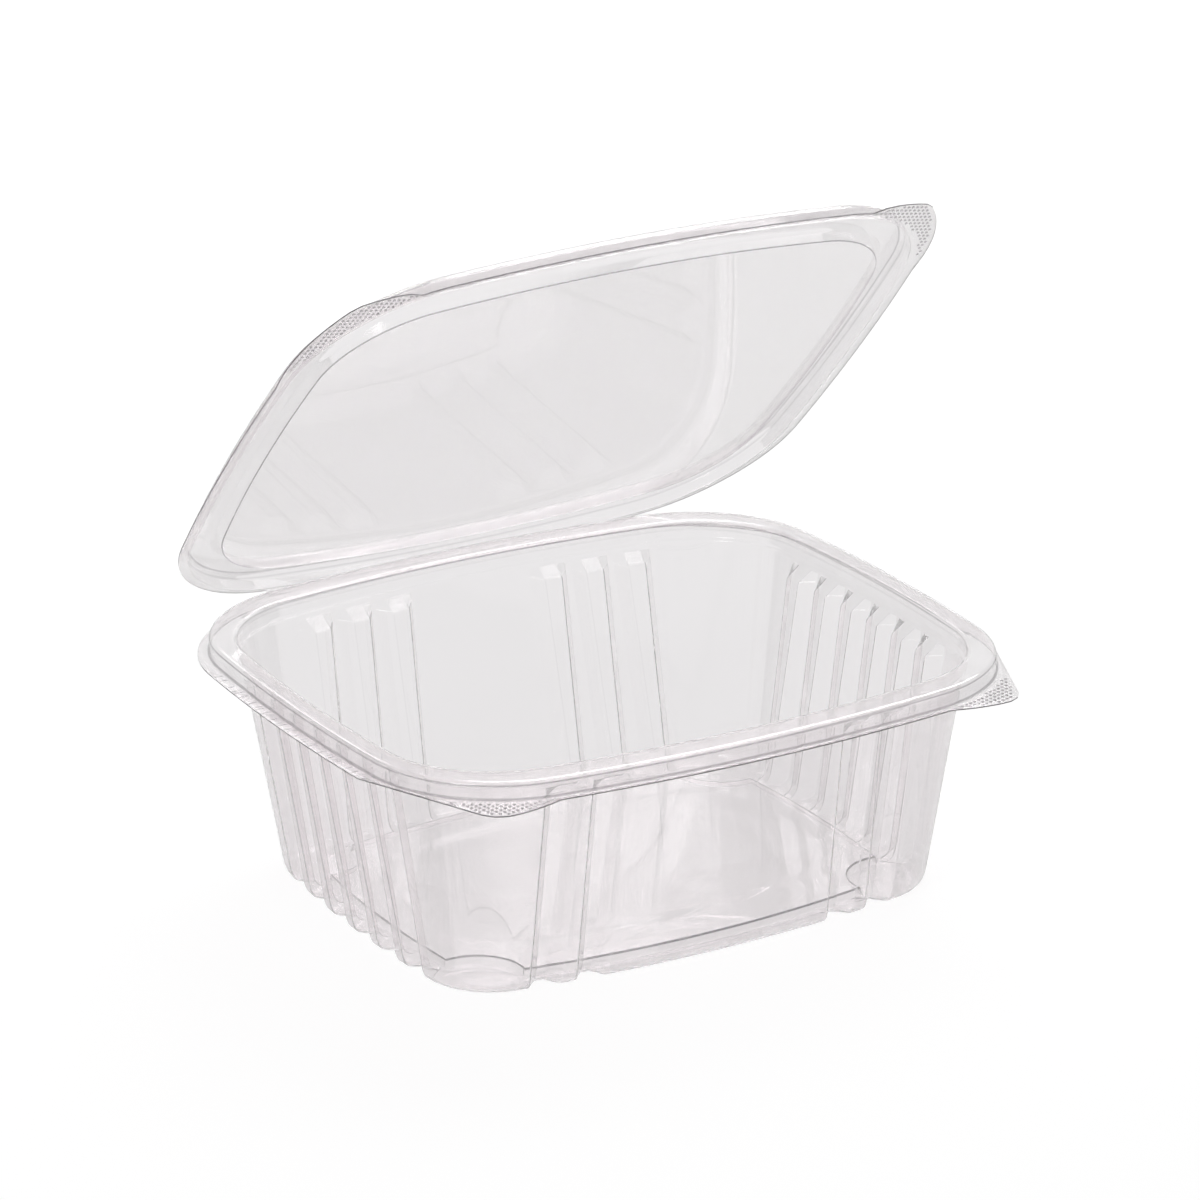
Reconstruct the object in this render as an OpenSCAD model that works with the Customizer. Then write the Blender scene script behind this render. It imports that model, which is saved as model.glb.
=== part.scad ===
// Hinged deli container, formed from one clear sheet: a ribbed tub with a beaded rim, and a lid
// that folds up from the back flange on a living hinge and snaps over the bead.
// The front is -Y, the hinge is at +Y, and the origin is on the table under the tub's centre.

/* [Tub] */
// inside width at the rim, from short side to short side
tub_w = 164; // [130:1:220]
// inside depth at the rim, from front to back
tub_d = 142; // [110:1:200]
// height of the flange's top face above the table
flange_h = 60; // [40:1:100]
// inside corner radius at the rim
corner_r = 30; // [22:1:38]
// how far each short side bows outward
side_bow = 5.5; // [3:0.5:9]
// how far the front and the back bow outward
end_bow = 9.5; // [4:0.5:12]
// draft of the short sides, in degrees from upright
side_draft = 8.5; // [4:0.5:12]
// draft of the front and the back, in degrees from upright
end_draft = 11; // [4:0.5:12]
// thickness of the formed sheet
sheet_t = 0.5; // [0.3:0.05:0.7]

/* [Rim] */
// width of the raised bead along the short sides
side_bead = 6.2; // [4:0.1:10]
// width of the raised bead along the front and the back
end_bead = 8.6; // [4:0.1:12]
// height of the bead above the flange
bead_h = 4.5; // [3:0.1:6]
// rounding along the bead's two top edges
bead_round = 0.8; // [0.6:0.1:1.5]
// width of the flat flange outside the bead at the short sides
side_lip = 3.6; // [2.5:0.1:8]
// width of the flat flange outside the bead at the front and the back
end_lip = 2.1; // [1.5:0.1:8]
// width of the flat flange outside the bead round the back corners
corner_lip = 2.2; // [2:0.1:4]
// ledge inside the rim, where the wall steps in below the bead
ledge_w = 0.7; // [0.3:0.1:1.5]

/* [Ribs] */
// distance from one rib to the next along a wall
rib_pitch = 12.6; // [11:0.1:16]
// plain wall left between two ribs at the top
rib_land = 1.4; // [1:0.1:3]
// width of a rib's flat face at the top
rib_face = 5.2; // [4:0.1:6]
// how far a rib stands into the tub
rib_depth = 3.8; // [1.5:0.1:5]
// plain wall between the ledge and the ribs
rib_drop = 0.8; // [0.5:0.1:8]
// height of the slope that leads from the wall onto a rib's face
rib_slope = 3; // [1.5:0.1:6]
// how much narrower each rib is at the foot
rib_taper = 2.4; // [0:0.1:3]
// ribs in each of the two groups on the back
back_ribs = 3; // [1:1:3]
// ribs in each of the two groups on the front
front_ribs = 2; // [1:1:3]

/* [Foot] */
// rounding of the bottom edge
foot_round = 2.8; // [1.5:0.1:5]
// flat foot left behind the ribs
foot_flat = 1.8; // [1:0.1:4]
// height of the floor above the foot
floor_rise = 2; // [1.5:0.1:6]
// radius of the round pads at the foot's corners
pad_r = 12.5; // [10:0.5:18]
// plain border beside the floor's middle panel, at the short sides
side_border = 4; // [3:0.5:14]
// plain border beside the floor's middle panel, at the front and the back
end_border = 12; // [5:0.5:14]
// height of the floor's middle panel above its border
panel_rise = 0.9; // [0.4:0.1:2]

/* [Lid] */
// gap between the closed lid and the rim that it snaps over
fit_gap = 0.35; // [0.2:0.05:0.5]
// gap between the two flanges when the lid is closed
flange_gap = 0.15; // [0.1:0.05:0.3]
// height of the lid's sunk panel above the flange
lid_panel_h = 0.5; // [0.2:0.1:2]
// how far the lid's inner wall slants in above its panel
lid_slant = 1; // [0.8:0.1:2]
// angle of the lid as drawn, with 0 closed and 180 laid flat behind the tub
lid_angle = 45.7; // [0:0.1:180]

/* [Hinge and tabs] */
// how far each end of the fold stops short of the flange's corner
hinge_inset = 2.5; // [1:0.5:20]
// gap between each flange and the fold's axis
hinge_gap = 0.1; // [0.05:0.05:0.15]
// how far the tub's pull tabs stand out of its front corners
tub_tab = 8.4; // [5:0.1:11]
// how far the lid's pull tabs stand out of its front corners
lid_tab = 7.9; // [4:0.1:10]

/* [Hidden] */
sheet_colour = [0.89, 0.89, 0.9, 0.5];
rad = 180 / PI;
flange_side = side_bead + side_lip;
flange_end = end_bead + end_lip;
bead_r = corner_r + (side_bead + end_bead) / 2;
flange_r = corner_r + (flange_side + flange_end) / 2;
hinge_y = tub_d / 2 + flange_end;
crest_z = flange_h + bead_h;
ledge_z = flange_h - ledge_w;
rib_top_z = ledge_z - rib_drop;
face_top_z = rib_top_z - rib_slope;
wall_foot_z = sheet_t + foot_round;
floor_z = sheet_t + floor_rise;
mouth_half = (rib_pitch - rib_land) / 2;
face_half = rib_face / 2;
taper_half = rib_taper / 2;
// the sides bow a little less at the foot than at the rim
foot_bow_share = 0.8;
// the floor's middle panel has corners rounded to this share of the rim's
panel_round_share = 0.6;
// a row of stations along a side ends a little short of its corners
run_end_share = 0.97;
// stations along a plain side, and between two groups of ribs, as shares of the half length
plain_shares = [-1, -0.5, 0, 0.5, 1];
middle_shares = [-0.5, 0, 0.5];
// stations round a front corner, and where its tab peaks and ends, as shares of the turn from
// the short side to the front
tub_corner_shares = [0, 0.2, 0.4, 0.56, 0.65, 0.7, 0.74, 0.82, 0.91, 1];
tub_peak_share = 0.72;
lid_corner_shares = [0, 0.15, 0.3, 0.45, 0.54, 0.6, 0.66, 0.74, 0.84, 1];
lid_peak_share = 0.6;
lid_tab_end_share = 0.85;
// how the lid's tab swells up to its peak and rounds off after it
lid_swell_power = 1.2;
lid_round_power = 0.6;
// what the corners of a level do
plain = 0;
padded = 1;
cut_edge = 2;

// radius of the arc that bows a side of the given half length
function bow_radius(half, bow) = (half * half + bow * bow) / (2 * bow);

// arcs of a bowed outline: side radius, end radius, corner centre, the two angles where a
// corner meets its sides, half width, half depth and corner radius
function arcs(hw, hd, bow_w, bow_d, r) =
    let (rs = bow_radius(hd, bow_w))
    let (re = bow_radius(hw, bow_d))
    let (a = [hw - rs, 0])
    let (b = [0, hd - re])
    let (u = (b - a) / norm(b - a))
    let (along = (norm(b - a) + ((rs - r) ^ 2 - (re - r) ^ 2) / norm(b - a)) / 2)
    let (across = sqrt((rs - r) ^ 2 - along ^ 2))
    let (c = a + along * u + across * [-u.y, u.x])
    [rs, re, c, atan2(c.y, c.x - a.x), atan2(c.y - b.y, c.x), hw, hd, r];

// the outline that stands a given way out of the tub's inside, at a height above the table
function outline(out_w, out_d, z, r) =
    let (bow = 1 - (1 - foot_bow_share) * max(0, flange_h - z) / flange_h)
    arcs(tub_w / 2 + out_w, tub_d / 2 + out_d, side_bow * bow, end_bow * bow, r);

// sides run anticlockwise from the right one: half length, then angle and point at a distance
// from the side's middle
function way(a) = [cos(a), sin(a)];
function run_half(k, side) = (side % 2 == 0 ? k[0] * k[3] : k[1] * (90 - k[4])) / rad;
function side_angle(k, side, s) = 90 * side + s * rad / k[side % 2];
function side_point(k, side, s) =
    (k[5 + side % 2] - k[side % 2]) * way(90 * side) + k[side % 2] * way(side_angle(k, side, s));

// corners follow their sides, and mirror the one at the back right
function turn(q, u) = q % 2 == 0 ? u : 1 - u;
function mirrored(q, p) = [q % 3 == 0 ? p.x : -p.x, q < 2 ? p.y : -p.y];
function corner_point(k, q, u, rise) =
    mirrored(q, k[2] + (k[7] + rise) * way(k[3] + turn(q, u) * (k[4] - k[3])));

// a corner cut back round a pad: an arc about the outline's sharp corner
function pad_point(k, q, u) =
    let (p0 = side_point(k, 0, run_half(k, 0) - pad_r) - k[2])
    let (p1 = side_point(k, 1, pad_r - run_half(k, 1)) - k[2])
    let (a0 = atan2(-p0.y, -p0.x))
    let (a1 = atan2(-p1.y, -p1.x))
    mirrored(q, k[2] - pad_r * way(a0 + turn(q, u) * (a1 - a0)));

// how far a tab stands out of its corner's arc: the tub's runs straight from the short side to
// its tip, and the lid's swells and rounds off
function straight_rise(k, a, peak) =
    let (tip = k[7] + tub_tab)
    k[7] * tip * sin(peak) / (k[7] * sin(a) + tip * sin(peak - a)) - k[7];
function tub_rise(k, u) =
    u < tub_peak_share ? straight_rise(k, u * (k[4] - k[3]), tub_peak_share * (k[4] - k[3]))
    : tub_tab * (1 - u) / (1 - tub_peak_share);
function lid_rise(u) =
    lid_tab * (u < lid_peak_share ? (u / lid_peak_share) ^ lid_swell_power
    : (max(0, lid_tab_end_share - u) / (lid_tab_end_share - lid_peak_share)) ^ lid_round_power);

// the flange narrows from each short side to its back corner
function back_rise(u) = (bead_r + corner_lip - flange_r) * min(1, 2 * u);

// stations round a corner: even at the back, and set by the tab at the front
function corner_stops(q, shares) =
    let (last = len(shares) - 1)
    [for (i = [0:last]) q < 2 ? i / last : turn(q, shares[q == 2 ? i : last - i])];

// rib centres: rows that fill the short sides, and groups beside the corners of the others
rim = outline(0, 0, flange_h, corner_r);
side_count = max(1, floor(2 * run_half(rim, 0) / rib_pitch));
side_row = [for (i = [0:side_count - 1]) (i - (side_count - 1) / 2) * rib_pitch];
function group_count(n) = max(1, min(n, floor(run_half(rim, 1) / rib_pitch)));
function group_row(n) =
    [for (i = [group_count(n) - 1:-1:0]) run_half(rim, 1) - (i + 1 / 2) * rib_pitch];

// stations along a side, as [distance from its middle, share of the rib's depth]
function rib_stops(row, slim) = [
    for (c = row)
        for (s = [[-1, mouth_half, 0], [-1, face_half, 1], [1, face_half, 1], [1, mouth_half, 0]])
            [c + s[0] * (s[1] - slim), s[2]]
];
function group_stops(row, slim) = concat(
    rib_stops([for (i = [len(row) - 1:-1:0]) -row[i]], slim),
    [for (s = middle_shares) [s * (row[0] - mouth_half), 0]],
    rib_stops(row, slim)
);
function ribbed_run(side, slim) =
    side % 2 == 0 ? rib_stops(side_row, slim)
    : group_stops(group_row(side == 1 ? back_ribs : front_ribs), slim);
function plain_run(side) = [for (s = plain_shares) [s * run_half(rim, side), 0]];

// one level of a formed sheet, with how far it is out of the tub's inside at sides and ends
function level(out_w, out_d, z, r, ribs = 0, slim = 0, kind = plain) =
    [out_w, out_d, z, r, ribs, slim, kind];
function even_level(out, z) = level(out, out, z, corner_r + out);
function bead_level(inward, z) =
    level(side_bead - inward, end_bead - inward, z, bead_r - inward);
function edge_level(z) = level(flange_side, flange_end, z, flange_r, kind = cut_edge);

// points of one level: four sides in turn, each followed by its corner
function ring(lv, ribbed) =
    let (k = outline(lv[0], lv[1], lv[2], lv[3]))
    let (edge = lv[6] == cut_edge)
    let (pads = lv[6] == padded)
    [
        for (side = [0:3])
            let (run = ribbed ? ribbed_run(side, lv[5]) : plain_run(side))
            let (reach = run[len(run) - 1][0])
            let (room = run_half(k, side) - (pads ? pad_r : 0))
            let (fold = edge && side == 1)
            let (fit = fold ? (room - hinge_inset) / reach : min(1, run_end_share * room / reach))
            each concat(
                [for (s = run)
                    let (p = side_point(k, side, s[0] * fit))
                    let (q = p - s[1] * lv[4] * way(side_angle(k, side, s[0] * fit)))
                    [q.x, fold ? hinge_y - hinge_gap : q.y, lv[2]]
                ],
                [for (u = corner_stops(side, ribbed ? tub_corner_shares : lid_corner_shares))
                    let (tab = ribbed ? tub_rise(k, turn(side, u)) : lid_rise(turn(side, u)))
                    let (rise = !edge ? 0 : side > 1 ? tab : back_rise(turn(side, u)))
                    let (q = pads ? pad_point(k, side, u) : corner_point(k, side, u, rise))
                    [q.x, q.y, lv[2]]
                ]
            )
    ];

// the same levels on the sheet's other face, a thickness below the first
function face_way(a, b) = [b[2] - a[2], a[0] - b[0]] / norm([b[2] - a[2], a[0] - b[0]]);
function other_face(levels, t) = [
    for (i = [0:len(levels) - 1])
        let (a = face_way(levels[max(0, i - 1)], levels[max(1, i)]))
        let (b = face_way(levels[min(len(levels) - 2, i)], levels[min(len(levels) - 1, i + 1)]))
        let (m = t * (i == 0 ? [0, -1] : (a + b) / (1 + a * b)))
        let (v = levels[i])
        level(v[0] + m.x, v[1] + m.x, v[2] + m.y, max(0, v[3] + m.x), v[4], v[5], v[6])
];

// a closed sheet between two faces, each a stack of levels from its middle outward
module sheet(top, bottom, ribbed) {
    levels = concat(top, [for (i = [len(bottom) - 1:-1:0]) bottom[i]]);
    rings = [for (lv = levels) ring(lv, ribbed)];
    n = len(rings[0]);
    last = n * (len(rings) - 1);
    walls = [
        for (i = [0:n:last - n])
            for (j = [0:n - 1])
                let (m = (j + 1) % n)
                each [[i + j, i + m, i + n + j], [i + m, i + n + m, i + n + j]]
    ];
    caps = [[for (j = [n - 1:-1:0]) j], [for (j = [0:n - 1]) last + j]];
    polyhedron([for (r = rings) each r], concat(walls, caps), convexity = 8);
}

// the tub's inner face, from the middle of its floor out to the edge of its flange
function wall_w(z) = -ledge_w - (ledge_z - z) * tan(side_draft);
function wall_d(z) = -ledge_w - (ledge_z - z) * tan(end_draft);
function wall_level(z, ribs, slim, inward = 0) =
    let (w = wall_w(max(z, wall_foot_z)) - inward)
    let (d = wall_d(max(z, wall_foot_z)) - inward)
    level(w, d, z, corner_r + (w + d) / 2, ribs, slim);
function floor_level(in_w, in_d, z, r, kind) =
    level(wall_w(wall_foot_z) - in_w, wall_d(wall_foot_z) - in_d, z, r, kind = kind);
foot_in = foot_round + rib_depth + foot_flat;
floor_in = foot_in + floor_rise * tan(side_draft);
panel_w = floor_in + side_border;
panel_d = floor_in + end_border;
panel_r = corner_r * panel_round_share;
tub_levels = [
    floor_level(panel_w + panel_rise, panel_d + panel_rise, floor_z + panel_rise, panel_r, plain),
    floor_level(panel_w, panel_d, floor_z, panel_r, plain),
    floor_level(floor_in, floor_in, floor_z, 0, padded),
    floor_level(foot_in, foot_in, sheet_t, 0, padded),
    wall_level(sheet_t, rib_depth, taper_half, foot_round),
    wall_level(sheet_t + foot_round * (1 - sin(45)), rib_depth, taper_half, foot_round * (1 - cos(45))),
    wall_level(wall_foot_z, rib_depth, taper_half),
    wall_level(face_top_z, rib_depth, 0),
    wall_level(rib_top_z, 0, 0),
    wall_level(ledge_z, 0, 0),
    even_level(0, flange_h),
    even_level(0, crest_z - bead_round),
    even_level(bead_round, crest_z),
    bead_level(bead_round, crest_z),
    bead_level(0, crest_z - bead_round),
    bead_level(0, flange_h),
    edge_level(flange_h)
];

// the closed lid's under face, from its panel over the bead to the edge of its flange
lid_levels = [
    even_level(-fit_gap - lid_slant, flange_h + lid_panel_h),
    even_level(-fit_gap, crest_z - bead_round),
    even_level(bead_round, crest_z + fit_gap),
    bead_level(bead_round, crest_z + fit_gap),
    bead_level(-fit_gap, crest_z - bead_round),
    bead_level(-fit_gap, flange_h + flange_gap),
    edge_level(flange_h + flange_gap)
];

module tub() {
    color(sheet_colour)
        sheet(tub_levels, other_face(tub_levels, sheet_t), true);
}

module lid() {
    color(sheet_colour)
        translate([0, hinge_y, flange_h])
            rotate([-lid_angle, 0, 0])
                translate([0, -hinge_y, -flange_h])
                    sheet(other_face(lid_levels, -sheet_t), lid_levels, false);
}

tub();
lid();
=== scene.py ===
import math

import bpy
import numpy as np
from mathutils import Matrix, Vector


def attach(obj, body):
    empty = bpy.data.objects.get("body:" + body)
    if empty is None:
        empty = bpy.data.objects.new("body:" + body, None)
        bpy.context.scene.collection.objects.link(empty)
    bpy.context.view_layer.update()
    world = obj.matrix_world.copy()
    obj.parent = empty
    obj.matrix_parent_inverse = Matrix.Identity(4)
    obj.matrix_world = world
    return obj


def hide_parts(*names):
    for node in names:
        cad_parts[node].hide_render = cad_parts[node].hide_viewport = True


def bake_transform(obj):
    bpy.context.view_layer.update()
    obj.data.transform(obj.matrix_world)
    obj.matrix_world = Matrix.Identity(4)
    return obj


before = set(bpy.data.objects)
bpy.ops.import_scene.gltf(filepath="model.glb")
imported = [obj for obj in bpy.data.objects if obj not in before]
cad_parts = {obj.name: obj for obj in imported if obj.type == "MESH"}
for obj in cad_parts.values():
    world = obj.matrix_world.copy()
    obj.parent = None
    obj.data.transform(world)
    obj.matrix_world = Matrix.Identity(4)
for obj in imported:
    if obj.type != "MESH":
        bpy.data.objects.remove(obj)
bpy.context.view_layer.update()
mm = 0.001
quarterTurn = math.pi / 2
plain, padded, cutEdge = 0, 1, 2  # what the corners of a level do


# Shader helpers: a wrapped socket does maths, and build.add makes any other node
class Wire:
    def __init__(self, build, socket):
        self.build = build
        self.socket = socket

    def maths(self, kind, *values):
        return self.build.add("ShaderNodeMath", {"operation": kind}, dict(enumerate(values)))

    def __add__(self, other):
        return self.maths("ADD", self, other)

    def __radd__(self, other):
        return self.maths("ADD", other, self)

    def __sub__(self, other):
        return self.maths("SUBTRACT", self, other)

    def __rsub__(self, other):
        return self.maths("SUBTRACT", other, self)

    def __mul__(self, other):
        return self.maths("MULTIPLY", self, other)

    def __rmul__(self, other):
        return self.maths("MULTIPLY", other, self)


class Build:
    def __init__(self, tree):
        self.tree = tree
        tree.nodes.clear()

    def add(self, kind, settings=None, inputs=None, out=0):
        node = self.tree.nodes.new(kind)
        for name, value in (settings or {}).items():
            setattr(node, name, value)
        for name, value in (inputs or {}).items():
            if isinstance(value, Wire):
                self.tree.links.new(value.socket, node.inputs[name])
            else:
                node.inputs[name].default_value = value
        return Wire(self, node.outputs[out])

    def most(self, a, b):
        return self.add("ShaderNodeMath", {"operation": "MAXIMUM"}, {0: a, 1: b})

    def end(self, kind, shader):
        self.tree.links.new(shader.socket, self.tree.nodes.new(kind).inputs["Surface"])


# Outline of the container: bowed sides with round corners, in millimetres
tubShape = {
    "width": 164, "depth": 142, "flangeHeight": 60, "cornerRadius": 30,
    "sideBow": 5.5, "endBow": 9.5, "footBowShare": 0.8,
    "sideDraft": 8.5, "endDraft": 11, "sheet": 0.28,
    "sideBead": 6.2, "endBead": 8.6, "beadHeight": 4.5, "beadRound": 0.8,
    "sideLip": 3.6, "endLip": 2.1, "cornerLip": 2.2, "ledge": 0.7,
    "ribPitch": 12.6, "ribLand": 1.4, "ribFace": 5.2, "ribDepth": 3.8,
    "ribDrop": 0.8, "ribSlope": 3, "ribTaper": 2.4, "backRibs": 3, "frontRibs": 2,
    "footRound": 2.8, "footFlat": 1.8, "floorRise": 2, "padRadius": 12.5,
    "sideBorder": 4, "endBorder": 12, "panelRise": 0.25, "panelSlope": 4, "panelRoundShare": 0.6,
    "hingeInset": 2.5, "hingeGap": 0.1, "runEndShare": 0.97, "flatStops": 15, "flatShare": 0.97,
    "tab": 8.4, "tabPeakShare": 0.72, "tabTipShare": 0.05, "tabTipBlend": (-1, -0.5, 0, 0.5, 1),
    "ribSoft": 0.22, "cornerStops": 22, "bendSteps": 5, "armShare": 0.48, "broadBend": 0.65,
    # painted shade lines: on the rib bends, and along the floor's edge, fading towards the back
    "ribPaintedShade": 0.04, "lineShare": 0.5, "lineFade": 1.5, "backLineShare": 0.15, "film": 0.15,
}


def bowRadius(half, bow):
    return (half * half + bow * bow) / (2 * bow)


def way(angle):
    return np.array([math.cos(angle), math.sin(angle)])


class Outline:
    def __init__(self, outWide, outDeep, z, corner):
        s = tubShape
        bow = 1 - (1 - s["footBowShare"]) * max(0, s["flangeHeight"] - z) / s["flangeHeight"]
        self.half = (s["width"] / 2 + outWide, s["depth"] / 2 + outDeep)
        self.radius = (
            bowRadius(self.half[1], s["sideBow"] * bow),
            bowRadius(self.half[0], s["endBow"] * bow),
        )
        self.corner = corner
        sideMid = np.array([self.half[0] - self.radius[0], 0.0])
        endMid = np.array([0.0, self.half[1] - self.radius[1]])
        gap = np.linalg.norm(endMid - sideMid)
        u = (endMid - sideMid) / gap
        sideReach, endReach = (r - corner for r in self.radius)
        along = (gap + (sideReach ** 2 - endReach ** 2) / gap) / 2
        across = math.sqrt(sideReach ** 2 - along ** 2)
        self.centre = sideMid + along * u + across * np.array([-u[1], u[0]])
        self.start = math.atan2(self.centre[1], self.centre[0] - sideMid[0])
        self.stop = math.atan2(self.centre[1] - endMid[1], self.centre[0])

    def runHalf(self, side):
        if side % 2 == 0:
            return self.radius[0] * self.start
        return self.radius[1] * (quarterTurn - self.stop)

    def sidePoint(self, side, s, inward=0.0):
        r = self.radius[side % 2]
        out = way(quarterTurn * side + s / r)
        return (self.half[side % 2] - r) * way(quarterTurn * side) + (r - inward) * out

    def cornerPoint(self, corner, u, rise):
        angle = self.start + turn(corner, u) * (self.stop - self.start)
        return mirrored(corner, self.centre + (self.corner + rise) * way(angle))

    # a corner cut back round a pad: an arc about the outline's sharp corner
    def padPoint(self, corner, u):
        r = tubShape["padRadius"]
        a = self.sidePoint(0, self.runHalf(0) - r) - self.centre
        b = self.sidePoint(1, r - self.runHalf(1)) - self.centre
        a0 = math.atan2(-a[1], -a[0])
        a1 = math.atan2(-b[1], -b[0])
        return mirrored(corner, self.centre - r * way(a0 + turn(corner, u) * (a1 - a0)))


def turn(corner, u):
    return u if corner % 2 == 0 else 1 - u


def mirrored(corner, p):
    return np.array([p[0] if corner % 3 == 0 else -p[0], p[1] if corner < 2 else -p[1]])


# Rows of points are rounded at each bend by a short curve between its two arms
def soften(rows, cuts, steps):
    soft = [rows[0]]
    for i in range(1, len(rows) - 1):
        here = rows[i]
        arms = []
        for other in (rows[i - 1], rows[i + 1]):
            arm = other - here
            length = np.maximum(np.linalg.norm(arm, axis=-1, keepdims=True), 1e-9)
            arms.append(here + arm * np.minimum(cuts[i] / length, tubShape["armShare"]))
        for t in np.linspace(0, 1, steps):
            soft.append((1 - t) ** 2 * arms[0] + 2 * t * (1 - t) * here + t * t * arms[1])
    soft.append(rows[-1])
    return soft


# How dark a painted shade line the rows of one bend draw, about as wide on a tight bend as on a
# broad one
def bendRow(line, cut):
    steps = tubShape["bendSteps"]
    reach = 0 if cut > tubShape["broadBend"] else 1
    return [line if abs(i - steps // 2) <= reach else 0 for i in range(steps)]


# Stations along a ribbed side: distance from its middle, share of the rib's depth, and painted
# shade line
def ribStops(row, slim):
    s = tubShape
    mouth = (s["ribPitch"] - s["ribLand"]) / 2 - slim
    face = s["ribFace"] / 2 - slim
    stops = []
    for c in row:
        for reach, share in ((-mouth, 0), (-face, 1), (face, 1), (mouth, 0)):
            stops.append(np.array([c + reach, share * s["ribDepth"]]))
    land = np.array([s["ribLand"] / 2, 0])
    stops = [stops[0] - land] + stops + [stops[-1] + land]
    soft = soften(stops, [s["ribSoft"]] * len(stops), s["bendSteps"])
    lines = [0]
    for stop in stops[1:-1]:
        lines += bendRow(s["ribPaintedShade"] if stop[1] > 0 else 0, s["ribSoft"])
    return [(p[0], p[1] / s["ribDepth"], line) for p, line in zip(soft, lines + [0])]


def ribbedRun(side, slim):
    s = tubShape
    rim = Outline(0, 0, s["flangeHeight"], s["cornerRadius"])
    half = rim.runHalf(side)
    if side % 2 == 0:
        count = max(1, int(2 * half // s["ribPitch"]))
        return ribStops([(i - (count - 1) / 2) * s["ribPitch"] for i in range(count)], slim)
    count = s["backRibs"] if side == 1 else s["frontRibs"]
    row = [half - (i + 0.5) * s["ribPitch"] for i in reversed(range(count))]
    stops = ribStops(row, slim)
    middle = stops[0][0]
    flat = [(middle * share, 0, 0) for share in np.linspace(-1, 1, s["flatStops"])[1:-1]]
    return [(-d, share, line) for d, share, line in reversed(stops)] + flat + stops


def plainRun(side):
    half = Outline(0, 0, tubShape["flangeHeight"], tubShape["cornerRadius"]).runHalf(side)
    return [(half * share, 0, 0) for share in np.linspace(-1, 1, lidShape["runStops"])]


# How far a pull tab stands out of its corner
def tubRise(k, u):
    s = tubShape
    tip = k.corner + s["tab"]
    span = k.stop - k.start

    def sharp(v):
        peak = s["tabPeakShare"]
        if v >= peak:
            return s["tab"] * (1 - v) / (1 - peak)
        a, b = v * span, peak * span
        chord = k.corner * math.sin(a) + tip * math.sin(b - a)
        return k.corner * tip * math.sin(b) / chord - k.corner

    reach = min(s["tabTipShare"], u, 1 - u)
    return sum(sharp(u + reach * w) for w in s["tabTipBlend"]) / len(s["tabTipBlend"])


lidShape = {
    "angle": 45.7, "fitGap": 0.35, "flangeGap": 0.15,
    "panelHeight": 0.5, "panelIn": 0.7, "slant": 0.3,
    "tab": 7.9, "tabPeakShare": 0.6, "tabEndShare": 0.85, "swellPower": 1.2, "roundPower": 0.6,
    "runStops": 33, "film": 0.5,
}


def lidRise(k, u):
    s = lidShape
    if u < s["tabPeakShare"]:
        return s["tab"] * (u / s["tabPeakShare"]) ** s["swellPower"]
    left = max(0, s["tabEndShare"] - u) / (s["tabEndShare"] - s["tabPeakShare"])
    return s["tab"] * left ** s["roundPower"]


def flangeSizes():
    s = tubShape
    side, end = s["sideBead"] + s["sideLip"], s["endBead"] + s["endLip"]
    beadRadius = s["cornerRadius"] + (s["sideBead"] + s["endBead"]) / 2
    return side, end, beadRadius, s["cornerRadius"] + (side + end) / 2


hingeY = tubShape["depth"] / 2 + flangeSizes()[1]


def level(outWide, outDeep, z, r, ribs=0, slim=0, kind=plain):
    return outWide, outDeep, z, r, ribs, slim, kind


def evenLevel(out, z):
    return level(out, out, z, tubShape["cornerRadius"] + out)


def beadLevel(inward, z):
    return level(
        tubShape["sideBead"] - inward, tubShape["endBead"] - inward, z, flangeSizes()[2] - inward
    )


def edgeLevel(z):
    side, end, _, radius = flangeSizes()
    return level(side, end, z, radius, kind=cutEdge)


# Points of one level: four sides in turn, each followed by its corner
def ring(lv, ribbed):
    outWide, outDeep, z, r, ribs, slim, kind = lv
    s = tubShape
    k = Outline(outWide, outDeep, z, r)
    _, _, beadRadius, edgeRadius = flangeSizes()
    points = []
    for side in range(4):
        run = ribbedRun(side, slim) if ribbed else plainRun(side)
        room = k.runHalf(side) - (s["padRadius"] if kind == padded else 0)
        fold = kind == cutEdge and side == 1
        if fold:
            fit = (room - s["hingeInset"]) / run[-1][0]
        else:
            fit = min(1, s["runEndShare"] * room / run[-1][0])
        for d, share, _ in run:
            p = k.sidePoint(side, d * fit, share * ribs)
            points.append((p[0], hingeY - s["hingeGap"] if fold else p[1], z))
        for u in np.linspace(0, 1, s["cornerStops"]):
            v = turn(side, u)
            rise = 0
            if kind == cutEdge and side > 1:
                rise = tubRise(k, v) if ribbed else lidRise(k, v)
            elif kind == cutEdge:
                rise = (beadRadius + s["cornerLip"] - edgeRadius) * min(1, 2 * v)
            p = k.padPoint(side, u) if kind == padded else k.cornerPoint(side, u, rise)
            points.append((p[0], p[1], z))
    return np.array(points)


def markPoints(mesh, name, values):
    marks = mesh.attributes.new(name, "FLOAT", "POINT")
    marks.data.foreach_set("value", np.array(values, dtype=np.float32))


def newPiece(name, points, faces):
    mesh = bpy.data.meshes.new(name)
    mesh.from_pydata([tuple(p) for p in points], [], faces)
    mesh.shade_smooth()
    piece = bpy.data.objects.new(name, mesh)
    bpy.context.scene.collection.objects.link(piece)
    return piece


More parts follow.
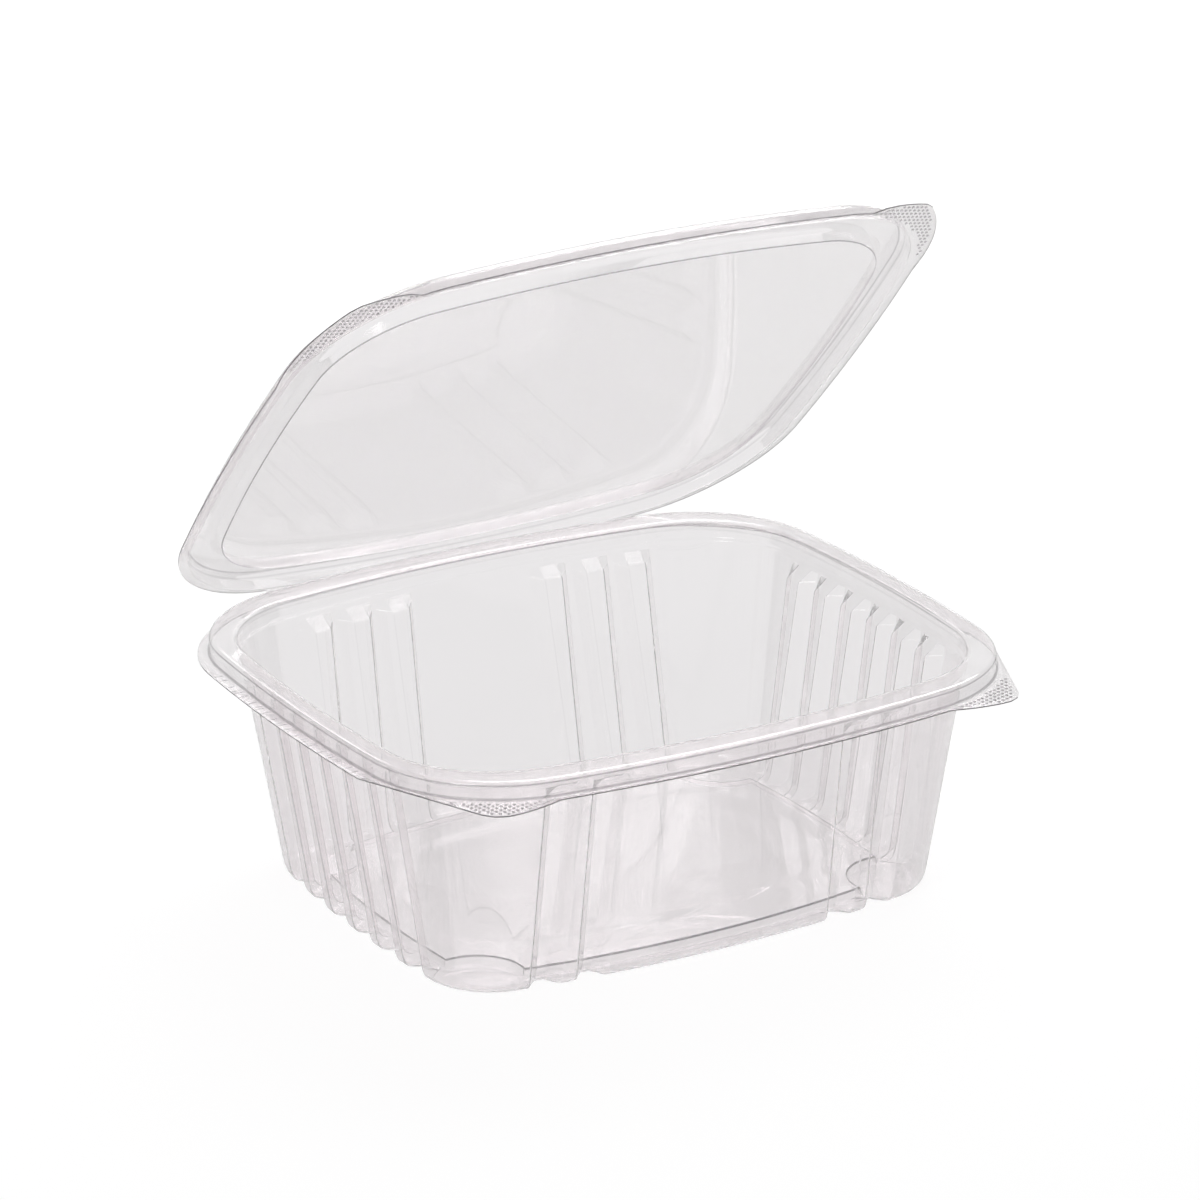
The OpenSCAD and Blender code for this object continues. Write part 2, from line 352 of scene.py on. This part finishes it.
# A formed sheet: rings of points from the middle outward, given its thickness behind them
def formedSheet(name, rings, dark, place):
    count = len(rings[0])
    points = np.concatenate(rings) * mm
    if place is not None:
        points = np.array([place @ Vector(p) for p in points])
    faces = [list(range(count))]
    for i in range(len(rings) - 1):
        for j in range(count):
            m = (j + 1) % count
            faces.append([i * count + j, (i + 1) * count + j, (i + 1) * count + m, i * count + m])
    piece = newPiece(name, points, faces)
    # painted shade: how dark a line each point draws
    markPoints(piece.data, "bend", dark)
    onFold = np.isclose(np.concatenate(rings)[:, 1], hingeY - tubShape["hingeGap"])
    markPoints(piece.data, "fold", onFold)  # not cut there, so it gets no painted shade edge
    wall = piece.modifiers.new("sheet", "SOLIDIFY")
    wall.thickness = tubShape["sheet"] * mm
    wall.offset = -1
    # the cut edges take the second material, the painted shade edge
    wall.material_offset_rim = 1
    shade = piece.modifiers.new("shade", "WEIGHTED_NORMAL")
    shade.keep_sharp = True
    return piece


# Rings for a profile, and how dark a painted shade line each point draws where a tight bend turns
# the light away
def softRings(profile, ribbed):
    s = tubShape
    rings = [ring(lv, ribbed) for lv, _, _ in profile]
    flat = s["flatShare"]  # keeps the panel flat up to its bend
    inner = rings[0] * np.array([flat, flat, 1])
    soft = soften([inner] + rings, [0] + [cut for _, cut, _ in profile], s["bendSteps"])
    along = []
    for side in range(4):
        run = ribbedRun(side, 0) if ribbed else plainRun(side)
        along += [line for _, _, line in run] + [0] * s["cornerStops"]
    dark = [np.zeros(len(along))]
    for (_, _, _, _, ribs, _, kind), cut, line in profile[:-1]:
        edges = np.array(along) * (ribs > 0)
        if kind == padded:  # the floor's edge: a painted shade line, fainter towards the back
            y = rings[0][:, 1] / s["depth"]
            line = line * np.clip(s["lineShare"] - s["lineFade"] * y, s["backLineShare"], 1)
        dark += [np.maximum(edges, line * share) for share in bendRow(1, cut)]
    return soft, np.concatenate(dark + [np.zeros(len(along))])


def tubRings():
    s = tubShape
    flange, t = s["flangeHeight"], s["sheet"]
    crest = flange + s["beadHeight"]
    ledgeZ = flange - s["ledge"]
    ribTop = ledgeZ - s["ribDrop"]
    faceTop = ribTop - s["ribSlope"]
    wallFoot = t + s["footRound"]
    floorZ = t + s["floorRise"]
    sideSlope, endSlope = (math.tan(math.radians(s[n])) for n in ("sideDraft", "endDraft"))
    taper = s["ribTaper"] / 2

    def wallOut(z):
        drop = ledgeZ - max(z, wallFoot)
        return -s["ledge"] - drop * sideSlope, -s["ledge"] - drop * endSlope

    def wallLevel(z, ribs, slim, inward=0):
        w, d = (out - inward for out in wallOut(z))
        return level(w, d, z, s["cornerRadius"] + (w + d) / 2, ribs, slim)

    def floorLevel(inWide, inDeep, z, r, kind):
        w, d = wallOut(wallFoot)
        return level(w - inWide, d - inDeep, z, r, kind=kind)

    footIn = s["footRound"] + s["ribDepth"] + s["footFlat"]
    floorIn = footIn + s["floorRise"] * sideSlope
    panelW, panelD, slope = floorIn + s["sideBorder"], floorIn + s["endBorder"], s["panelSlope"]
    panelR = s["cornerRadius"] * s["panelRoundShare"]
    half = s["footRound"] * (1 - math.sqrt(0.5))
    profile = [  # level, how far its bend is rounded, and how dark a painted shade line it draws
        (floorLevel(panelW + slope, panelD + slope, floorZ + s["panelRise"], panelR, plain), 2, 0),
        (floorLevel(panelW, panelD, floorZ, panelR, plain), 2, 0),
        (floorLevel(floorIn, floorIn, floorZ, 0, padded), 0.5, 1),
        (floorLevel(footIn, footIn, t, 0, padded), 0.5, 0),
        (wallLevel(t, s["ribDepth"], taper, s["footRound"]), 0.5, 0),
        (wallLevel(t + half, s["ribDepth"], taper, half), 0.9, 0),
        (wallLevel(wallFoot, s["ribDepth"], taper), 0.9, 0),
        (wallLevel(faceTop, s["ribDepth"], 0), 0.6, 0),
        (wallLevel(ribTop, 0, 0), 0.5, 0),
        (wallLevel(ledgeZ, 0, 0), 0.35, 0),
        (evenLevel(0, flange), 0.35, 0),
        (evenLevel(0, crest - s["beadRound"]), 0.8, 0.2),
        (evenLevel(s["beadRound"], crest), 0.8, 0),
        (beadLevel(s["beadRound"], crest), 0.8, 0),
        (beadLevel(0, crest - s["beadRound"]), 0.8, 0.3),
        (beadLevel(0, flange), 0.6, 0.25),
        (edgeLevel(flange), 0, 0),
    ]
    return softRings(profile, True)


def lidRings():
    s = tubShape
    p = lidShape
    flange = s["flangeHeight"]
    crest = flange + s["beadHeight"]
    wallIn = -p["fitGap"] - p["panelIn"]
    # each level, how far its bend is rounded, and how dark a painted shade line it draws
    profile = [
        (evenLevel(wallIn - p["slant"], flange + p["panelHeight"]), 0.3, 0.5),
        (evenLevel(wallIn, crest - s["beadRound"]), 0.8, 0),
        (evenLevel(s["beadRound"], crest + p["fitGap"]), 0.8, 0),
        (beadLevel(s["beadRound"], crest + p["fitGap"]), 0.8, 0.2),
        (beadLevel(-p["fitGap"], crest - s["beadRound"]), 0.8, 0.1),
        (beadLevel(-p["fitGap"], flange + p["flangeGap"]), 0.5, 0),
        (edgeLevel(flange + p["flangeGap"]), 0, 0),
    ]
    return softRings(profile, False)


def lidPlace():
    pivot = Vector((0, hingeY * mm, tubShape["flangeHeight"] * mm))
    swing = Matrix.Rotation(-math.radians(lidShape["angle"]), 4, "X")
    return Matrix.Translation(pivot) @ swing @ Matrix.Translation(-pivot)


# Grip dots: small domes in a diamond grid on each pull tab, away from the other flange
gripDots = {
    "rows": 1, "pitch": 2.2, "turn": 58, "radius": 0.42, "height": 0.28, "bite": 0.03,
    "clearOfBead": 1.8, "clearOfEdge": 1.5, "around": 8,
    "flank": ((0, 0.2), (0.35, 0.85), (0.7, 0.3)),  # share of the way up, and how dark its painted shade is
}


def dotPlaces(rise):
    d = gripDots
    side, end, beadRadius, edgeRadius = flangeSizes()
    k = Outline(side, end, tubShape["flangeHeight"], edgeRadius)
    along, across = way(math.radians(d["turn"])), way(math.radians(d["turn"]) - quarterTurn)
    places = []
    reach = int(2 * edgeRadius / d["rows"])
    for i in range(-reach, reach + 1):
        for j in range(-reach, reach + 1):
            p = (j + i % 2 / 2) * d["pitch"] * along + i * d["rows"] * across
            far = np.linalg.norm(p)
            for mirror in (1, -1):
                u = (math.atan2(-p[1], mirror * p[0]) - k.start) / (k.stop - k.start)
                if not 0 < u < 1:
                    continue
                if beadRadius + d["clearOfBead"] < far < edgeRadius + rise(k, u) - d["clearOfEdge"]:
                    places.append((mirror * k.centre[0] + p[0], p[1] - k.centre[1]))
    return places


def dotMesh(name, rise, z, up, place):
    d = gripDots
    points, faces, dark = [], [], []
    for x, y in dotPlaces(rise):
        first = len(points)
        for share, line in d["flank"]:
            lift = quarterTurn * share
            r = d["radius"] * math.cos(lift)
            h = d["height"] * math.sin(lift) - (0 if share else d["bite"])
            for m in range(d["around"]):
                a = 4 * quarterTurn * m / d["around"]
                points.append((x + r * math.cos(a), y + r * math.sin(a), z + up * h))
                dark.append(line)
        points.append((x, y, z + up * d["height"]))
        dark.append(0)
        faces.append([first + m for m in range(d["around"])][::-1])
        for n in range(len(d["flank"]) - 1):
            low = first + n * d["around"]
            for m in range(d["around"]):
                a, b = low + m, low + (m + 1) % d["around"]
                faces.append([a, b, b + d["around"], a + d["around"]])
        low = first + (len(d["flank"]) - 1) * d["around"]
        for m in range(d["around"]):
            faces.append([low + m, low + (m + 1) % d["around"], len(points) - 1])
    if up < 0:
        faces = [f[::-1] for f in faces]
    points = [Vector(c * mm for c in p) for p in points]
    piece = newPiece(name, [place @ p for p in points] if place else points, faces)
    # painted shade: a dark ring on each dot's flank, light at its top
    markPoints(piece.data, "bend", dark)
    return piece


# Fold: the thin strip of sheet that turns between the two flanges
foldShape = {"sheet": 0.12, "bend": 9, "along": 9}


def foldStrip():
    f = foldShape
    t = tubShape["sheet"] / 2
    lift = lidShape["flangeGap"] + t
    turned = math.radians(180 - lidShape["angle"])
    gap = tubShape["hingeGap"]
    section = [(-gap, -t)]
    for share in np.linspace(0, 1, f["bend"]):
        angle = -quarterTurn + share * turned
        r = t + (lift - t) * share
        section.append((r * math.cos(angle), r * math.sin(angle)))
    a = turned - quarterTurn
    section.append((section[-1][0] - gap * math.sin(a), section[-1][1] + gap * math.cos(a)))
    side, end, _, edgeRadius = flangeSizes()
    back = Outline(side, end, tubShape["flangeHeight"], edgeRadius)
    half = back.runHalf(1) - tubShape["hingeInset"]
    points, faces = [], []
    for x in np.linspace(-half, half, f["along"]):
        for y, z in section:
            points.append((x * mm, (hingeY + y) * mm, (tubShape["flangeHeight"] + z) * mm))
    row = len(section)
    for i in range(f["along"] - 1):
        for j in range(row - 1):
            c = i * row + j
            faces.append([c, c + 1, c + row + 1, c + row])
    piece = newPiece("fold_strip", points, faces)
    wall = piece.modifiers.new("sheet", "SOLIDIFY")
    wall.thickness = f["sheet"] * mm
    wall.offset = 0
    bendEnds = section[1], section[-2]
    start, stop = ((0, hingeY + y, tubShape["flangeHeight"] + z) for y, z in bendEnds)
    return piece, [c * mm for c in start], [c * mm for c in stop]


# Clear sheet: smooth, a little uneven from the forming, and open to the lamps' light; its bend
# colour is the painted shade of the dark lines along its bends
clearSheet = {
    "colour": (0.992, 0.974, 0.981, 1), "ior": 1.45, "rough": 0.0,
    "filmTone": (0.99, 0.981, 0.984, 1), "shade": (0.974, 0.969, 0.971, 1),
    "waveSize": 30, "waveDetail": 2.0, "waveDepth": 0.00005,
    "bend": (0.2, 0.18, 0.2, 1),
}
# painted shade: the sheet's cut edges drawn in opaque dark grey, in place of the dark line that
# light trapped in the clear sheet shows there
cutEdgePaintedShade = {"shadeTone": (0.17, 0.155, 0.165, 1), "rough": 0.35}


def newLook(name):
    mat = bpy.data.materials.new(name)
    mat.use_nodes = True
    return mat, Build(mat.node_tree)


def clearMaterial(name, film):
    c = clearSheet
    mat, b = newLook(name)
    place = b.add("ShaderNodeTexCoord", out="Object")
    wave = b.add("ShaderNodeTexNoise", None, {
        "Vector": place, "Scale": c["waveSize"], "Detail": c["waveDetail"],
    })
    bump = b.add("ShaderNodeBump", None, {
        "Height": wave, "Distance": c["waveDepth"], "Strength": 1.0,
    })
    sheet = b.add("ShaderNodeBsdfPrincipled", None, {
        "Base Color": c["colour"], "Roughness": c["rough"], "IOR": c["ior"],
        "Transmission Weight": 1.0, "Normal": bump,
    })
    clear = b.add("ShaderNodeBsdfTransparent", None, {"Color": c["filmTone"]})
    shade = b.add("ShaderNodeBsdfTransparent", None, {"Color": c["shade"]})
    lamp = b.add("ShaderNodeLightPath", out="Is Shadow Ray")
    seen = b.add("ShaderNodeMixShader", None, {0: film, 1: sheet, 2: clear})
    body = b.add("ShaderNodeMixShader", None, {0: lamp, 1: seen, 2: shade})
    # painted shade: a dark see-through layer laid over the marked bends, standing in for the dark
    # lines that refraction draws there
    dark = b.add("ShaderNodeBsdfTransparent", None, {"Color": c["bend"]})
    bend = b.add("ShaderNodeAttribute", {"attribute_name": "bend"}, out="Fac")
    line = bend * (1 - lamp)
    look = b.add("ShaderNodeMixShader", None, {0: line, 1: body, 2: dark})
    b.end("ShaderNodeOutputMaterial", look)
    return mat


def cutEdgeShadeMaterial():
    mat, b = newLook("cut_edge_painted_shade")
    cut = b.add("ShaderNodeBsdfPrincipled", None, {
        "Base Color": cutEdgePaintedShade["shadeTone"], "Roughness": cutEdgePaintedShade["rough"],
    })
    clear = b.add("ShaderNodeBsdfTransparent", None, {"Color": clearSheet["filmTone"]})
    fold = b.add("ShaderNodeAttribute", {"attribute_name": "fold"}, out="Fac")
    look = b.add("ShaderNodeMixShader", None, {0: fold, 1: cut, 2: clear})
    b.end("ShaderNodeOutputMaterial", look)
    return mat


def dress(piece, mats, body=None, node=None):
    for mat in mats:
        piece.data.materials.append(mat)
    piece.visible_diffuse = False  # the floor is lit through the sheet
    if body:
        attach(piece, body)
    if node:
        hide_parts(node)


tubLook = clearMaterial("tub_look", tubShape["film"])
lidLook = clearMaterial("lid_look", lidShape["film"])
edgeShadeLook = cutEdgeShadeMaterial()
tubPiece = formedSheet("tub_sheet", *tubRings(), None)
dress(tubPiece, [tubLook, edgeShadeLook], "tub", "tub")
print("tub:", len(tubPiece.data.polygons), "faces")
lidRows, lidPaintedShade = lidRings()  # turned round, so that the sheet lies on their upper side
lidPaintedShade = lidPaintedShade.reshape(len(lidRows), -1)[:, ::-1].ravel()
lidPiece = formedSheet("lid_sheet", [r[::-1] for r in lidRows], lidPaintedShade, lidPlace())
dress(lidPiece, [lidLook, edgeShadeLook], "lid", "lid")
print("lid:", len(lidPiece.data.polygons), "faces")

tubUnder = tubShape["flangeHeight"] - tubShape["sheet"]
lidOver = tubShape["flangeHeight"] + lidShape["flangeGap"] + tubShape["sheet"]
tubDots = dotMesh("tub_grip_dots", tubRise, tubUnder, -1, None)
dress(tubDots, [tubLook], "tub")
lidDots = dotMesh("lid_grip_dots", lidRise, lidOver, 1, lidPlace())
dress(lidDots, [lidLook], "lid")
print("grip dots:", len(tubDots.data.vertices), "and", len(lidDots.data.vertices), "points")

fold, foldStart, foldStop = foldStrip()
dress(fold, [tubLook])
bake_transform(fold)
print("fold strip")

# Studio: pale floor, white surround, soft lamps
studio = {
    "floorColour": (0.7, 0.7, 0.7, 1), "floorGlow": 0.38, "floorSize": 8,
    "ambient": 0.35, "wall": 1.0, "through": 0.86, "floorThrough": 0.165,
    "wallTop": 0.1, "ceilingFrom": 0.6, "ceiling": 0.7, "lampAim": (0, 0, 0.06),
}


# the white surround as the camera sees it, and a little dimmer in gloss and through the sheet
def surround(b, seen, inGloss, lit=0):
    camera = b.add("ShaderNodeLightPath", out="Is Camera Ray")
    glossy = b.add("ShaderNodeLightPath", out="Is Glossy Ray")
    through = b.add("ShaderNodeLightPath", out="Is Transmission Ray")
    passed = b.add("ShaderNodeLightPath", out="Transparent Depth")
    bare = b.add("ShaderNodeMath", {"operation": "LESS_THAN"}, {0: passed, 1: 0.5})
    other = b.most(b.most(glossy, through), camera * (1 - bare))
    return camera * bare * (seen - lit) + other * (inGloss - lit) + lit


def makeFloor():
    h = studio["floorSize"] / 2
    floor = newPiece("floor", [(-h, -h, 0), (h, -h, 0), (h, h, 0), (-h, h, 0)], [(0, 1, 2, 3)])
    mat, b = newLook("floor_look")
    matt = b.add("ShaderNodeBsdfDiffuse", None, {"Color": studio["floorColour"]})
    glow = b.add("ShaderNodeEmission", None, {
        "Strength": surround(b, studio["floorGlow"], studio["floorThrough"]),
    })
    b.end("ShaderNodeOutputMaterial", b.add("ShaderNodeAddShader", None, {0: matt, 1: glow}))
    floor.data.materials.append(mat)


def makeWorld():
    world = bpy.data.worlds.new("studio")
    world.use_nodes = True
    b = Build(world.node_tree)
    ahead = b.add("ShaderNodeTexCoord", out="Generated")
    height = b.add("ShaderNodeSeparateXYZ", None, {0: ahead}, out="Z")
    dim = b.add("ShaderNodeMapRange", None, {
        "Value": height, "From Min": studio["wallTop"], "From Max": studio["ceilingFrom"],
        "To Min": studio["through"], "To Max": studio["ceiling"],
    })
    strength = surround(b, studio["wall"], dim, studio["ambient"])
    sky = b.add("ShaderNodeBackground", None, {"Color": (1, 1, 1, 1), "Strength": strength})
    b.end("ShaderNodeOutputWorld", sky)
    bpy.context.scene.world = world


bounces = {
    "max_bounces": 32, "diffuse_bounces": 2, "glossy_bounces": 12, "transmission_bounces": 24,
    "transparent_max_bounces": 32, "caustics_reflective": False, "caustics_refractive": False,
}
lamps = {
    "top": {"place": (1.24, 1.2, 2.2), "size": 1.75, "power": 46},
    "back": {"place": (0.26, 2.13, 1.48), "size": 0.55, "power": 3.5},
    "left": {"place": (-1.6, -0.9, 1.2), "size": 0.6, "power": 10.5},
}


def makeLamps():
    for name, lamp in lamps.items():
        lampData = bpy.data.lights.new(name, "AREA")
        lampData.shape = "SQUARE"
        lampData.size = lamp["size"]
        lampData.energy = lamp["power"]
        obj = bpy.data.objects.new(name, lampData)
        obj.visible_camera = False
        obj.location = lamp["place"]
        ahead = Vector(studio["lampAim"]) - obj.location
        obj.rotation_euler = ahead.to_track_quat("-Z", "Y").to_euler()
        bpy.context.scene.collection.objects.link(obj)


shot = {
    "place": (-0.6690, -1.1933, 0.5855), "azimuth": -29.28, "height": 20.47, "roll": -0.84,
    "focal": 5790.62, "frame": 1200, "sensor": 36,
}


def makeCamera():
    az, el, roll = (math.radians(shot[n]) for n in ("azimuth", "height", "roll"))
    back = Vector((math.sin(az) * math.cos(el), -math.cos(az) * math.cos(el), math.sin(el)))
    side = Vector((math.cos(az), math.sin(az), 0))
    up = back.cross(side)
    tiltedSide = side * math.cos(roll) + up * math.sin(roll)
    tiltedUp = up * math.cos(roll) - side * math.sin(roll)
    data = bpy.data.cameras.new("photo_camera")
    data.sensor_width = shot["sensor"]
    data.lens = shot["focal"] * shot["sensor"] / shot["frame"]
    camera = bpy.data.objects.new("photo_camera", data)
    turned = Matrix((tiltedSide, tiltedUp, back)).transposed().to_4x4()
    camera.matrix_world = Matrix.Translation(shot["place"]) @ turned
    bpy.context.scene.collection.objects.link(camera)
    bpy.context.scene.camera = camera


makeFloor()
makeWorld()
makeLamps()
makeCamera()
bpy.context.scene.view_settings.view_transform = "Standard"
for name, value in bounces.items():
    setattr(bpy.context.scene.cycles, name, value)
print("studio: floor, world, lamps and camera")
